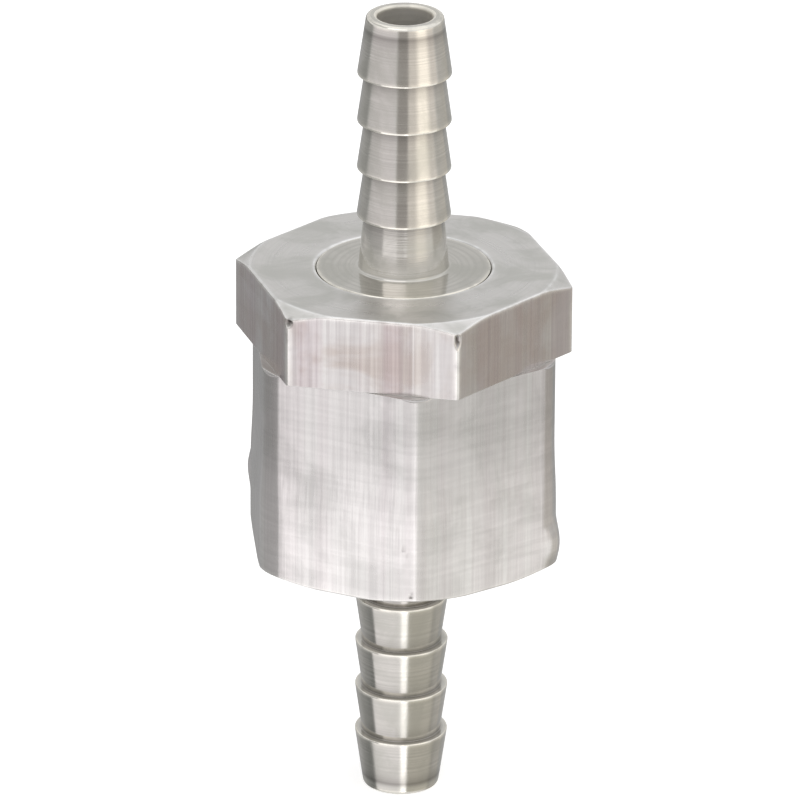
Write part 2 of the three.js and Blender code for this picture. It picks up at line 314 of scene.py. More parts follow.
def add_piece(node, body, materials, points, closed=True, finishes=None, marks=None):
    """Makes a surface that stands for a CAD node and rides on a body."""
    mesh = surface_mesh(f"{node}_surface", points, closed, finishes, marks)
    piece = bpy.data.objects.new(mesh.name, mesh)
    bpy.context.scene.collection.objects.link(piece)
    for material in materials:
        mesh.materials.append(material)
    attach(piece, body)
    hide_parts(node)
    return piece


# ---------------------------------------------------------------- node helpers

def add_node(tree, kind, inputs=None, **settings):
    """A node with its settings, and its inputs set to a value or linked from a socket."""
    node = tree.nodes.new(kind)
    for key, value in settings.items():
        setattr(node, key, value)
    for key, value in (inputs or {}).items():
        if isinstance(value, bpy.types.NodeSocket):
            tree.links.new(value, node.inputs[key])
        else:
            node.inputs[key].default_value = value
    return node


def maths(tree, operation, *values):
    """A Math node's result."""
    return add_node(tree, "ShaderNodeMath", dict(enumerate(values)), operation=operation).outputs[0]


def mapped(tree, value, low, high, new_low=0.0, new_high=1.0):
    """A value carried smoothly from one range to another."""
    node = add_node(
        tree, "ShaderNodeMapRange", {0: value, 1: low, 2: high, 3: new_low, 4: new_high},
        interpolation_type="SMOOTHSTEP",
    )
    return node.outputs[0]


def mixed(tree, share, first, second, blend="MIX"):
    """A colour mix. first and second are colours or sockets."""
    node = add_node(
        tree, "ShaderNodeMix", {0: share, 6: first, 7: second}, data_type="RGBA", blend_type=blend
    )
    return node.outputs[2]


def shade(values, alpha=1.0):
    """A colour as a node socket wants it."""
    return (*values, alpha)


def node_group(name, inputs, outputs, fill):
    """A shader node group, built once. fill(tree, given, result) makes its nodes."""
    if name in bpy.data.node_groups:
        return bpy.data.node_groups[name]
    tree = bpy.data.node_groups.new(name, "ShaderNodeTree")
    for key, default in inputs.items():
        tree.interface.new_socket(key, in_out="INPUT", socket_type="NodeSocketFloat").default_value = default
    for key in outputs:
        tree.interface.new_socket(key, in_out="OUTPUT", socket_type="NodeSocketFloat")
    given = tree.nodes.new("NodeGroupInput")
    result = tree.nodes.new("NodeGroupOutput")
    fill(tree, given.outputs, result.inputs)
    return tree


def placed(tree, group, **values):
    """The outputs of a node group placed in a material with its own values."""
    node = add_node(tree, "ShaderNodeGroup", node_tree=group)
    for key, value in values.items():
        node.inputs[key.replace("_", " ").capitalize()].default_value = value
    return node.outputs


def own_place(tree):
    """The piece's own coordinates, which don't slide when it moves."""
    return add_node(tree, "ShaderNodeTexCoord").outputs["Object"]


def noise(tree, place, scale, detail, roughness=0.5, distortion=0.0):
    """Noise between 0 and 1."""
    inputs = {
        "Vector": place, "Scale": scale, "Detail": detail, "Roughness": roughness, "Distortion": distortion,
    }
    return add_node(tree, "ShaderNodeTexNoise", inputs).outputs[0]


def noise_layers(name, size_name, size, layers, flattened=None):
    """A node group with one noise for each layer, on the piece's coordinates or on flattened ones.

    A layer holds how many times finer it is than the size, the noise's detail, roughness and distortion, and
    the ends of the range that is spread over 0 to 1.
    """

    def fill(tree, given, result):
        place = own_place(tree)
        if flattened:
            place = flattened(tree, place)
        scale = maths(tree, "DIVIDE", 1.0, given[size_name])
        for key, (finer, detail, roughness, distortion, low, high) in layers.items():
            value = noise(tree, place, maths(tree, "MULTIPLY", scale, finer), detail, roughness, distortion)
            tree.links.new(mapped(tree, value, low, high), result[key])

    return node_group(name, {size_name: size}, list(layers), fill)


def scaled_axes(*factors):
    """A function that scales coordinates along the axes."""

    def flattened(tree, place):
        return add_node(tree, "ShaderNodeMapping", {"Vector": place, "Scale": factors}).outputs[0]

    return flattened


def axis_section(tree, place):
    """Coordinates that hold only the distance from the axis and the height."""
    parts = add_node(tree, "ShaderNodeSeparateXYZ", {0: place}).outputs
    flat = add_node(tree, "ShaderNodeCombineXYZ", {0: parts[0], 1: parts[1]}).outputs[0]
    radius = add_node(tree, "ShaderNodeVectorMath", {0: flat}, operation="LENGTH").outputs["Value"]
    return add_node(tree, "ShaderNodeCombineXYZ", {0: radius, 2: parts[2]}).outputs[0]


def turned_lines():
    """Fine rings left by a lathe tool: they read only the distance from the axis and the height."""
    layers = {"Fine": (1.0, 3.0, 0.65, 0.0, 0.3, 0.7), "Broad": (0.13, 2.0, 0.5, 0.0, 0.35, 0.65)}
    return noise_layers("Turned lines", "Spacing", 0.0002, layers, axis_section)


def drawn_streaks():
    """Lengthwise die marks of drawn bar: they hardly change along the axis."""
    layers = {"Fine": (1.0, 3.0, 0.7, 0.0, 0.32, 0.68), "Broad": (0.22, 2.0, 0.5, 0.0, 0.35, 0.65)}
    return noise_layers("Drawn streaks", "Spacing", 0.0003, layers, scaled_axes(1.0, 1.0, 0.012))


def milled_lines():
    """Faint cutter lines across a side: they hardly change sideways."""
    layers = {"Fine": (1.0, 2.0, 0.5, 0.0, 0.35, 0.65)}
    return noise_layers("Milled lines", "Spacing", 0.0005, layers, scaled_axes(0.05, 0.05, 1.0))


def stains():
    """Soft cloudy patches from handling and coolant, and specks in them."""
    layers = {"Cloud": (1.0, 4.0, 0.6, 0.6, 0.38, 0.66), "Speck": (9.0, 2.0, 0.5, 0.0, 0.6, 0.75)}
    return noise_layers("Stains", "Size", 0.004, layers)


def height_share():
    """How far up a point lies between two heights, 0 to 1."""

    def fill(tree, given, result):
        up = add_node(tree, "ShaderNodeSeparateXYZ", {0: own_place(tree)}).outputs[2]
        tree.links.new(mapped(tree, up, given["Low"], given["High"]), result["Share"])

    return node_group("Height share", {"Low": -0.01, "High": 0.01}, ["Share"], fill)


def painted_highlight_line():
    """Masks of a painted highlight: a thin line along the bar and a lighter strip on one side of it, by the
    sideways place alone.
    """
    half_line, line_edge, strip_edge = 0.00002, 0.00009, 0.00003

    def fill(tree, given, result):
        across = add_node(tree, "ShaderNodeSeparateXYZ", {0: own_place(tree)}).outputs[0]
        off = maths(tree, "SUBTRACT", across, given["Place"])
        off_line = maths(tree, "ABSOLUTE", off)
        tree.links.new(mapped(tree, off_line, line_edge, half_line), result["Line"])
        tree.links.new(mapped(tree, off, -strip_edge, strip_edge), result["Beside"])

    return node_group("Painted highlight line", {"Place": 0.003}, ["Line", "Beside"], fill)


def worn_and_highlighted_edges():
    """Lightening of scuffed edges, which is also a painted highlight, and painted shade for dents and
    creases, from the mesh's own wear and nick values.
    """

    def fill(tree, given, result):
        wear_and_highlight = add_node(tree, "ShaderNodeAttribute", attribute_name="wear_and_highlight").outputs["Fac"]
        painted_shade = add_node(tree, "ShaderNodeAttribute", attribute_name="painted_shade").outputs["Fac"]
        patchy = noise(tree, own_place(tree), 900.0, 3.0)
        scuffed_and_highlighted = maths(tree, "MULTIPLY", wear_and_highlight, mapped(tree, patchy, 0.3, 0.6, 0.35, 1.0))
        tree.links.new(maths(tree, "MULTIPLY", scuffed_and_highlighted, given["Amount"]), result["Rubbed"])
        tree.links.new(painted_shade, result["Painted shade"])

    return node_group("Worn and highlighted edges", {"Amount": 1.0}, ["Rubbed", "Painted shade"], fill)


WHITE = (1, 1, 1)
# Colour of painted shade in dents and in creases.
PAINTED_SHADE_TONE = (0.10, 0.085, 0.08, 1.0)
TURNED_DEPTH = 0.000003


def metal(name, base, anisotropic=0.0):
    """A metal shader, with the tree that its colour, roughness and bump are built in."""
    material = bpy.data.materials.new(name)
    material.use_nodes = True
    tree = material.node_tree
    shader = tree.nodes["Principled BSDF"]
    shader.inputs["Base Color"].default_value = shade(base)
    shader.inputs["Metallic"].default_value = 1.0
    shader.inputs["Anisotropic"].default_value = anisotropic
    if anisotropic:
        tangent = add_node(tree, "ShaderNodeTangent", direction_type="RADIAL", axis="Z")
        tree.links.new(tangent.outputs[0], shader.inputs["Tangent"])
    return material, tree, shader


def bumped(tree, shader, height, depth, strength=0.6):
    """Feeds a height in 0..1 to the shader as a bump of the given depth."""
    bump = add_node(tree, "ShaderNodeBump", {"Height": height, "Distance": depth, "Strength": strength})
    tree.links.new(bump.outputs[0], shader.inputs["Normal"])


def tinted(base, factors):
    """A base colour times a factor for each channel."""
    return shade([min(1.0, b * f) for b, f in zip(base, factors)])


def less(amount, parts=(1, 1, 1)):
    """A factor for each channel: one less its part of the amount."""
    return [1 - amount * part for part in parts]


def scaled_tone(tree, tone, share, low, high):
    """A tone times factors that go from low to high with the share."""
    factors = mixed(tree, share, tinted(WHITE, low), tinted(WHITE, high))
    return mixed(tree, 1.0, tone, factors, "MULTIPLY")


def sided_metal(name, base, streaking, milling, clouding, warmth, painted_top_shade, die=0.0):
    """A hexagon's sides: drawn streaks, cutter lines, clouds, scuffed edges that also carry a painted
    highlight, and painted shade in dents.

    painted_top_shade is how much brighter the metal is painted at its bottom than at its top, a painted
    shade that darkens it towards the top. die is how strong a painted highlight line and the lighter tone
    beside it are. warmth holds how much of the clouds' darkness each channel takes.
    """
    material, tree, shader = metal(name, base)
    streak = placed(tree, drawn_streaks(), spacing=0.00032)
    line = placed(tree, milled_lines(), spacing=0.00045)
    cloud = placed(tree, stains(), size=0.0055)
    edge = placed(tree, worn_and_highlighted_edges(), amount=0.7)
    # Painted shade: the tone darkens from the bottom up by painted_top_shade, so the sides are brighter low
    # down.
    share = placed(tree, height_share(), low=-0.0105, high=0.003)["Share"]
    tone = mixed(tree, share, shade(base), tinted(base, [1 / painted_top_shade] * 3))
    tone = scaled_tone(tree, tone, streak["Fine"], less(streaking, (1, 1.12, 1.05)), WHITE)
    tone = scaled_tone(tree, tone, streak["Broad"], WHITE, less(streaking, (0.5, 0.8, 0.65)))
    tone = scaled_tone(tree, tone, line["Fine"], less(milling), WHITE)
    tone = scaled_tone(tree, tone, cloud["Cloud"], WHITE, less(clouding, warmth))
    if die:
        # Painted highlight: a thin bright line along the bar at Place; beyond it in X the tone is drawn back
        # towards the plain base, lighter.
        mark = placed(tree, painted_highlight_line(), place=0.00304)
        tone = mixed(tree, maths(tree, "MULTIPLY", mark["Beside"], die), tone, shade(base))
        bright = tinted(base, (1.2, 1.2, 1.2))
        tone = mixed(tree, maths(tree, "MULTIPLY", mark["Line"], 2 * die), tone, bright)
    # Edges lightened for scuffing and as a painted highlight.
    tone = mixed(tree, edge["Rubbed"], tone, tinted(base, (1.15, 1.15, 1.13)))
    # Painted shade: dents go near black.
    tone = mixed(tree, edge["Painted shade"], tone, PAINTED_SHADE_TONE)
    tree.links.new(tone, shader.inputs["Base Color"])
    rough = mapped(tree, streak["Fine"], 0.0, 1.0, 0.24, 0.17)
    rough = maths(tree, "ADD", rough, maths(tree, "MULTIPLY", cloud["Cloud"], 0.05))
    tree.links.new(rough, shader.inputs["Roughness"])
    bumped(tree, shader, streak["Fine"], 0.000002 + 0.00001 * streaking)
    return material


def turned_metal(name, base, roughness, spacing, contrast, cloudiness, anisotropic=0.5):
    """A lathe-turned surface: rings, soft clouds, edges lightened for scuffing and as a painted highlight,
    and painted shade in dents and creases.
    """
    material, tree, shader = metal(name, base, anisotropic)
    rings = placed(tree, turned_lines(), spacing=spacing)
    cloud = placed(tree, stains(), size=0.004)
    edge = placed(tree, worn_and_highlighted_edges(), amount=0.9)
    clouds = maths(tree, "MULTIPLY", cloud["Cloud"], cloudiness)
    tone = mixed(tree, rings["Fine"], tinted(base, less(contrast)), tinted(base, (1.04, 1.04, 1.04)))
    broad = maths(tree, "MULTIPLY", rings["Broad"], 0.25)
    tone = mixed(tree, broad, tone, tinted(base, (0.9, 0.89, 0.88)))
    tone = mixed(tree, clouds, tone, tinted(base, (0.78, 0.79, 0.77)))
    # Edges lightened for scuffing and as a painted highlight.
    tone = mixed(tree, edge["Rubbed"], tone, tinted(base, (1.35, 1.34, 1.3)))
    # Painted shade: dents and the creases at the barbs' ridge roots go near black.
    tone = mixed(tree, edge["Painted shade"], tone, PAINTED_SHADE_TONE)
    tree.links.new(tone, shader.inputs["Base Color"])
    rough = mapped(tree, rings["Broad"], 0.0, 1.0, roughness * 0.85, roughness * 1.15)
    rough = maths(tree, "ADD", rough, maths(tree, "MULTIPLY", clouds, 0.1))
    tree.links.new(rough, shader.inputs["Roughness"])
    bumped(tree, shader, rings["Fine"], TURNED_DEPTH)
    return material


def soft_material(name, base, roughness, grain, sheen_height):
    """Rubber or plastic: faint mottling and a moulded or machined grain."""
    material = bpy.data.materials.new(name)
    material.use_nodes = True
    tree = material.node_tree
    shader = tree.nodes["Principled BSDF"]
    cloud = placed(tree, stains(), size=0.0015)
    tone = mixed(tree, cloud["Cloud"], tinted(base, (0.85, 0.85, 0.85)), tinted(base, (1.15, 1.15, 1.12)))
    tree.links.new(tone, shader.inputs["Base Color"])
    rough = mapped(tree, cloud["Speck"], 0.0, 1.0, roughness, roughness * 0.8)
    tree.links.new(rough, shader.inputs["Roughness"])
    bumped(tree, shader, noise(tree, own_place(tree), 1.0 / grain, 3.0), sheen_height, 0.4)
    return material

def finish(name, make, *values):
    """A material by name, made the first time it is asked for."""
    return bpy.data.materials.get(name) or make(name, *values)


def body_finishes(settings):
    """The four finishes of a body half, in the order of its material slots."""
    base = tuple(settings.body)
    # The sixth value, 1.33, paints shade that darkens the sides towards the top; the bar's last value sets
    # the strength of its painted highlight line.
    bar = (base, 0.17, 0.03, 0.2, (0.7, 1.0, 1.2), 1.33, 0.12)
    middle = (base, 0.07, 0.06, 0.14, (1, 0.95, 1.0), 1.33)
    return [
        finish("drawn_bar", sided_metal, *bar),
        finish("faced_end", turned_metal, base, 0.3, 0.00016, 0.08, 1.0, 0.2),
        finish("milled_middle", sided_metal, *middle),
        finish("bored_inside", turned_metal, base, 0.35, 0.0003, 0.15, 0.2, 0.3),
    ]


def barb_finishes(settings):
    """The barbs' bright turned metal and the duller drilled passage."""
    base = tuple(settings.barb)
    return [
        finish("bright_barb", turned_metal, base, 0.11, 0.00018, 0.14, 0.75, 0.3),
        finish("drilled_passage", turned_metal, base, 0.6, 0.0003, 0.15, 0.3, 0.0),
    ]


def brass_finish(settings):
    """The poppet's and guide's turned brass."""
    return finish("turned_brass", turned_metal, tuple(settings.brass), 0.25, 0.0002, 0.14, 0.3, 0.4)


def steel_finish(settings):
    """Spring and circlip steel."""
    return finish("spring_steel_grey", turned_metal, tuple(settings.steel), 0.3, 0.00015, 0.12, 0.3, 0.0)


def rubber_finish(settings):
    """The seals' black rubber."""
    return finish("moulded_rubber", soft_material, tuple(settings.rubber), 0.6, 0.00015, 0.00001)


def plastic_finish(settings):
    """The seat's white plastic."""
    return finish("machined_plastic", soft_material, tuple(settings.plastic), 0.45, 0.0004, 0.000006)


# ---------------------------------------------------------------- body halves

def hexagon_angles(turn, flat_columns=20, corner_columns=25):
    """Columns round a hexagon, as angles from the X axis and from the nearest corner.

    They are even on the flats and crowd towards each corner, by the power 1.7 of their share of the way.
    """
    reach, crowding = math.radians(6.5), 1.7
    share = np.linspace(-1, 1, corner_columns)
    corner = reach * np.sign(share) * np.abs(share) ** crowding
    flat = np.linspace(reach, math.pi / 3 - reach, flat_columns + 2)[1:-1]
    away = np.concatenate([corner, flat])
    angles = turn + np.concatenate([math.pi / 3 * i + away for i in range(6)])
    from_corner = np.tile(np.where(away > math.pi / 6, away - math.pi / 3, away), 6)
    return angles, from_corner


def hexagon_radii(from_corner, across_flats, corner_radius):
    """Radius of a hexagon with rounded corners at angles measured from its nearest corner.

    On a flat it is the half width over the cosine of the angle from the flat's middle. On a corner it is the
    far side of a circle that touches both flats.
    """
    half = across_flats / 2
    centre = (half - corner_radius) / math.cos(math.pi / 6)
    flat_end = math.atan((half - corner_radius) * math.tan(math.pi / 6) / half)
    from_middle = math.pi / 6 - np.abs(from_corner)
    inside = np.maximum(corner_radius**2 - (centre * np.sin(from_corner)) ** 2, 0)
    rounded = centre * np.cos(from_corner) + np.sqrt(inside)
    return np.where(from_middle < flat_end, half / np.cos(from_middle), rounded)


def near_corners(from_corner, across_flats, corner_radius):
    """Nearness to the hexagon's upright edges, 1 on them and falling off over the reach of their lightening
    for scuffing and as a painted highlight.
    """
    along = np.abs(from_corner) * across_flats / 2 - corner_radius / 2
    return np.exp(-np.maximum(along, 0) / WEAR_AND_HIGHLIGHT_REACH)


def chamfered(hexagon, start, slope, edge_break):
    """Where an end face stops and how far its edge falls, for a cone that cuts the hexagon's corners."""
    face = np.minimum(start, hexagon - edge_break)
    fall = np.maximum(edge_break, (hexagon - start) * slope)
    return face, fall


def barb_pocket(body, barb):
    """Corners of the pocket for a barb, from the mouth inwards, as (radius, depth below the end face)."""
    floor = barb.disc_height
    mouth, fit = 0.12 * MM, 0.03 * MM
    groove, groove_depth = 5.75 * MM, floor + 0.85 * MM
    shank = barb.shank_radius + fit
    shank_end = BODY_HALF - BARB_LOW.z
    return [
        (body.disc_pocket + mouth, 0),
        (body.disc_pocket, mouth),
        (body.disc_pocket, floor),
        (groove, floor),
        (groove, groove_depth),
        (shank, groove_depth),
        (shank, shank_end),
        (barb.gas_radius, shank_end),
    ]


def thread_wave(height, angles, pitch):
    """A thread's section, 1 on its crest and 0 in its root.

    It is a clipped triangle wave of the height less the helix's rise, both in pitches.
    """
    steepness, root_share = 1.6, 0.3
    phase = (height / pitch - angles / (2 * math.pi)) % 1.0
    return np.clip(steepness * (1 - np.abs(2 * phase - 1)) - root_share, 0, 1)


def threaded(radius, height, angles, body, low, high):
    """Cuts the thread into the rows between two heights, fading out over a pitch at each end."""
    height = np.broadcast_to(height, (len(height), len(angles)))
    pitch = body.thread_pitch
    fade = np.clip((height - low) / pitch, 0, 1) * np.clip((high - height) / pitch, 0, 1)
    root = (1 - thread_wave(height, angles, pitch)) * body.thread_depth
    return radius - root * fade


def nicked(points, nicks):
    """Pushes small dents into a surface: each takes depth times (1 - d^2)^2 along its direction.

    d is the distance from the dent's centre in radii. Returns the points and how deep in a dent each lies,
    which the finishes paint as shade.
    """
    dent_shade = np.zeros(points.shape[:2])
    for centre, radii, push in nicks:
        away = (points - np.array(centre)) / np.array(radii)
        near = np.clip(1 - (away**2).sum(-1), 0, 1) ** 2
        points = points + near[..., None] * np.array(push)
        dent_shade = np.maximum(dent_shade, near)
    return points, dent_shade


def side_nick(body, angle, height, turn, radii, depth):
    """A dent on a side, or a swelling where its depth is negative.

    angle is in degrees from the half's own hexagon, and height in metres. radii, sideways and upright, and
    depth are in millimetres.
    """
    from_corner = np.array([(angle + 30) % 60 - 30])
    reach = hexagon_radii(np.radians(from_corner), body.across_flats, body.corner_radius)[0]
    a = turn + math.radians(angle)
    outward = np.array([math.cos(a), math.sin(a), 0])
    centre = (reach * math.cos(a), reach * math.sin(a), height)
    width, tall = radii
    return centre, np.array([width, width, tall]) * MM, -depth * MM * outward


class VALVE_OT_outlet_half(bpy.types.Operator):
    """Models the outlet half: hexagonal flange, threaded skirt and gas passage."""

    bl_idname = "valve.outlet_half"
    bl_label = "Outlet Half"

    def execute(self, context):
        """Carries one profile round the axis, with the hexagon's outline as the radius of the flange."""
        body, barb = context.scene.valve_body, context.scene.valve_barb
        angles, from_corner = hexagon_angles(0.0)
        hexagon = hexagon_radii(from_corner, body.across_flats, body.corner_radius)
        face, fall = chamfered(hexagon, body.outlet_chamfer, body.outlet_slope, body.edge_break)
        roof, ceiling = 4.8 * MM, 5.6 * MM
        pocket = [(r, BODY_HALF - d, 0.05 * MM, 4, INSIDE, 0.3) for r, d in barb_pocket(body, barb)]
        pocket[0] = (*pocket[0][:2], 0.05 * MM, 26, END_FACE, 1)
        corners = [
            pocket[0],
            (face, BODY_HALF, 0.04 * MM, 6, END_FACE, 0.7),
            (hexagon, BODY_HALF - fall, 0.06 * MM, 30, FLATS, 1),
            (hexagon, SEAM, 0.04 * MM, 8, INSIDE, 0.1),
            (body.skirt_radius, SEAM, 0.03 * MM, 56, INSIDE, 0),
            (body.skirt_radius, SKIRT_BOTTOM, 0.1 * MM, 4, INSIDE, 0.5),
            (body.skirt_inner, SKIRT_BOTTOM, 0.1 * MM, 10, INSIDE, 0.5),
            (body.skirt_inner, roof, 0.2 * MM, 10, INSIDE, 0),
            (barb.gas_radius, ceiling, 0.1 * MM, 4, INSIDE, 0),
            *reversed(pocket[1:]),
        ]
        radius, height, finishes, wear_and_highlight = carried(corners)
        in_thread = np.abs(radius - body.skirt_radius) < 1e-6
        radius = np.where(in_thread, threaded(radius, height, angles, body, SKIRT_BOTTOM, SEAM), radius)
        edges = near_corners(from_corner, body.across_flats, body.corner_radius)
        on_flat = (finishes == FLATS)[:, None] * edges
        points = turned_points(radius, height, angles)
        nicks = [
            side_nick(body, -60, BODY_HALF - 1.05 * MM, 0, (0.3, 0.75), 0.22),
            side_nick(body, -120, BODY_HALF - 0.75 * MM, 0, (0.5, 0.4), 0.3),
        ]
        points, dent_shade = nicked(points, nicks)
        # The flats beside the upright corners are lightened for scuffing and as a painted highlight; the
        # dents carry painted shade.
        marks = {"wear_and_highlight": np.maximum(wear_and_highlight, on_flat * 0.9), "painted_shade": dent_shade}
        metals = body_finishes(context.scene.valve_finish)
        add_piece("upper_body", FIXED, metals, points, True, finishes, marks)
        return {"FINISHED"}


class VALVE_OT_inlet_half(bpy.types.Operator):
    """Models the inlet half: tall hexagonal body, slot for the skirt, valve chamber and seat pocket."""

    bl_idname = "valve.inlet_half"
    bl_label = "Inlet Half"

    def execute(self, context):
        """Carries one profile round the axis: the bar's hexagon at the end and the milled one above it."""
        body, barb = context.scene.valve_body, context.scene.valve_barb
        angles, from_corner = hexagon_angles(body.lower_turn)
        end = hexagon_radii(from_corner, body.across_flats, body.end_corner)
        middle = hexagon_radii(from_corner, body.middle_across, body.middle_corner)
        face, fall = chamfered(end, body.inlet_chamfer, body.inlet_slope, body.edge_break)
        step = body.end_height - BODY_HALF
        # The flats draw in over the whole blend and the corners over half of it
        reach = np.clip((end - middle) / (0.5 * (body.across_flats - body.middle_across)) - 1.05, 0, 1)
        blend = body.end_blend * (1 - 0.5 * reach)
        past = np.maximum(middle - body.shoulder, 0)
        shoulder_fall = past * body.shoulder_fall / past.max() + 0.02 * MM
        pocket = [(r, d - BODY_HALF, 0.05 * MM, 4, INSIDE, 0.3) for r, d in barb_pocket(body, barb)]
        pocket[0] = (*pocket[0][:2], 0.05 * MM, 26, END_FACE, 1)
        seat = SEAT_HIGH.x + 0.03 * MM
        chamber = 6.0 * MM
        guide = GUIDE_HIGH.x + 0.05 * MM
        groove = 7.35 * MM
        slot_outer = 9.75 * MM
        play = 0.05 * MM
        clip_top, clip_bottom = CLIP_HIGH.z + play, CLIP_LOW.z - play
        guide_floor = GUIDE_LOW.z + 1.0 * MM
        corners = [
            pocket[0],
            (face, -BODY_HALF, 0.04 * MM, 6, END_FACE, 0.7),
            (end, fall - BODY_HALF, 0.06 * MM, 26, MIDDLE, 1),
            (end, step, 1.2 * MM, 10, MIDDLE, 0),
            (middle, step + blend, 1.2 * MM, 30, MIDDLE, 0),
            (middle, SEAM - shoulder_fall, 0.1 * MM, 5, MIDDLE, 0),
            (np.minimum(middle, body.shoulder), SEAM, 0.03 * MM, 6, INSIDE, 0),
            (slot_outer, SEAM, 0.03 * MM, 12, INSIDE, 0),
            (slot_outer, body.slot_bottom, 0.1 * MM, 3, INSIDE, 0),
            (body.slot_inner, body.slot_bottom, 0.1 * MM, 10, INSIDE, 0),
            (body.slot_inner, body.tower_top, 0.15 * MM, 4, INSIDE, 0.6),
            (guide, body.tower_top, 0.12 * MM, 3, INSIDE, 0.6),
            (guide, clip_top, 0.03 * MM, 3, INSIDE, 0.3),
            (groove, clip_top, 0.03 * MM, 3, INSIDE, 0),
            (groove, clip_bottom, 0.03 * MM, 3, INSIDE, 0),
            (guide, clip_bottom, 0.03 * MM, 3, INSIDE, 0.3),
            (guide, guide_floor, 0.05 * MM, 3, INSIDE, 0),
            (chamber, guide_floor, 0.05 * MM, 12, INSIDE, 0.3),
            (chamber, SEAT_HIGH.z, 0.2 * MM, 4, INSIDE, 0),
            (seat, SEAT_HIGH.z, 0.05 * MM, 3, INSIDE, 0.3),
            (seat, SEAT_LOW.z, 0.05 * MM, 3, INSIDE, 0),
            (barb.gas_radius, SEAT_LOW.z, 0.05 * MM, 4, INSIDE, 0.3),
            *reversed(pocket[1:]),
        ]
        radius, height, finishes, wear_and_highlight = carried(corners)
        points = turned_points(radius, height, angles)
        turn = body.lower_turn
        # Dents, which the finishes paint with shade; the first two together make one slanting dark line.
        nicks = [
            side_nick(body, -64.5, step - 1.0 * MM, turn, (0.17, 0.5), 0.12),
            side_nick(body, -63.4, step - 1.6 * MM, turn, (0.17, 0.5), 0.12),
            side_nick(body, -62, 0.95 * MM - BODY_HALF, turn, (0.35, 0.4), 0.25),
            side_nick(body, -60, 0.7 * MM - BODY_HALF, turn, (0.3, 0.3), 0.25),
        ]
        points, dent_shade = nicked(points, nicks)
        swelling = body.swelling / MM
        swellings = [
            side_nick(body, 2, step - 3.7 * MM, turn, (2.4, 2.4), -swelling),
            side_nick(body, 178, step - 1.7 * MM, turn, (2.4, 2.4), -1.3 * swelling),
        ]
        points, _ = nicked(points, swellings)
        # The dents carry painted shade.
        marks = {"wear_and_highlight": wear_and_highlight, "painted_shade": dent_shade}
        metals = body_finishes(context.scene.valve_finish)
        add_piece("lower_body", FIXED, metals, points, True, finishes, marks)
        return {"FINISHED"}


# ---------------------------------------------------------------- barbs

def barb_corners(barb):
    """Corners of a barb's profile above its end face: disc, neck, ridges, hose end and bore."""
    top = barb.barb_length
    corners = [
        (barb.gas_radius, BARB_LOW.z - BODY_HALF, 0.1 * MM, 3, 0, 0.3),
        (barb.shank_radius, BARB_LOW.z - BODY_HALF, 0.15 * MM, 6, 0, 0.3),
        (barb.shank_radius, -barb.disc_height, 0.05 * MM, 4, 0, 0),
        (barb.disc_radius, -barb.disc_height, 0.08 * MM, 4, 0, 0.5),
        (barb.disc_radius, 0, 0.12 * MM, 16, 0, 1),
        (barb.neck_radius, 0, 0.22 * MM, 16, 0, 0),
    ]
    for i in reversed(range(barb.ridges)):
        shoulder = top - barb.first_ridge - i * barb.ridge_pitch
        corners += [
            (barb.root_radius, shoulder, 0.06 * MM, 3, 0, 0),
            (barb.ridge_radius, shoulder, 0.06 * MM, 1, 0, 1),
            (barb.ridge_radius, shoulder + 0.12 * MM, 0.06 * MM, 14, 0, 0.8),
        ]
    corners += [
        (barb.tip_radius, top, barb.lip * 1.3, 2, 0, 1),
        (barb.gas_radius, top, barb.lip, 24, 1, 1),
    ]
    return corners


class VALVE_OT_hose_barbs(bpy.types.Operator):
    """Models both hose barbs: the inlet one is the outlet one turned end for end."""

    bl_idname = "valve.hose_barbs"
    bl_label = "Hose Barbs"

    def execute(self, context):
        """Carries the barb's profile round the axis and places it at each end face."""
        barb = context.scene.valve_barb
        radius, height, finishes, wear_and_highlight = carried(barb_corners(barb), steps=6)
        outside = (height > 0.4 * MM) & (radius > barb.root_radius - 0.02 * MM)
        # Painted shade in the crease under each ridge, where the root meets the ridge's shoulder.
        painted_root_shade = 0.6 * outside * np.exp(-np.maximum(radius - barb.root_radius, 0) / (0.07 * MM))
        marks = {"wear_and_highlight": wear_and_highlight, "painted_shade": painted_root_shade}
        metals = barb_finishes(context.scene.valve_finish)
        for name, side in (("outlet_barb", 1), ("inlet_barb", -1)):
            points = turned_points(radius, side * (BODY_HALF + height), round_angles(120))
            add_piece(name, FIXED, metals, points, True, finishes, marks)
        return {"FINISHED"}


# ---------------------------------------------------------------- inner pieces

def ring_section(node, section, sides=24):
    """An O-ring's section where its CAD node is: a circle, read from the node's box."""
    low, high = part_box(node)
    centre = high.x - section
    middle = (low.z + high.z) / 2
    t = round_angles(sides)
    return (centre + section * np.cos(t))[:, None], (middle + section * np.sin(t))[:, None]


class VALVE_OT_seals(bpy.types.Operator):
    """Models the O-rings: one at the seam, one under each barb and one on the poppet."""

    bl_idname = "valve.seals"
    bl_label = "O-rings"

    def execute(self, context):
        """Turns each section round the axis, with the fine mould line on its outside."""
        rubber = rubber_finish(context.scene.valve_finish)
        flash_width, flash_height = 0.05 * MM, 0.01 * MM
        rings = {
            "body_seal": (0.7 * MM, FIXED),
            "outlet_barb_seal": (0.4 * MM, FIXED),
            "inlet_barb_seal": (0.4 * MM, FIXED),
            "poppet_seal": (0.54 * MM, MOVING),
        }
        for name, (section, body) in rings.items():
            radius, height = ring_section(name, section)
            outside = radius > radius.mean()
            flash = np.exp(-(((height - height.mean()) / flash_width) ** 2)) * outside
            points = turned_points(radius + flash_height * flash, height, round_angles(96))
            add_piece(name, body, [rubber], points)
        return {"FINISHED"}


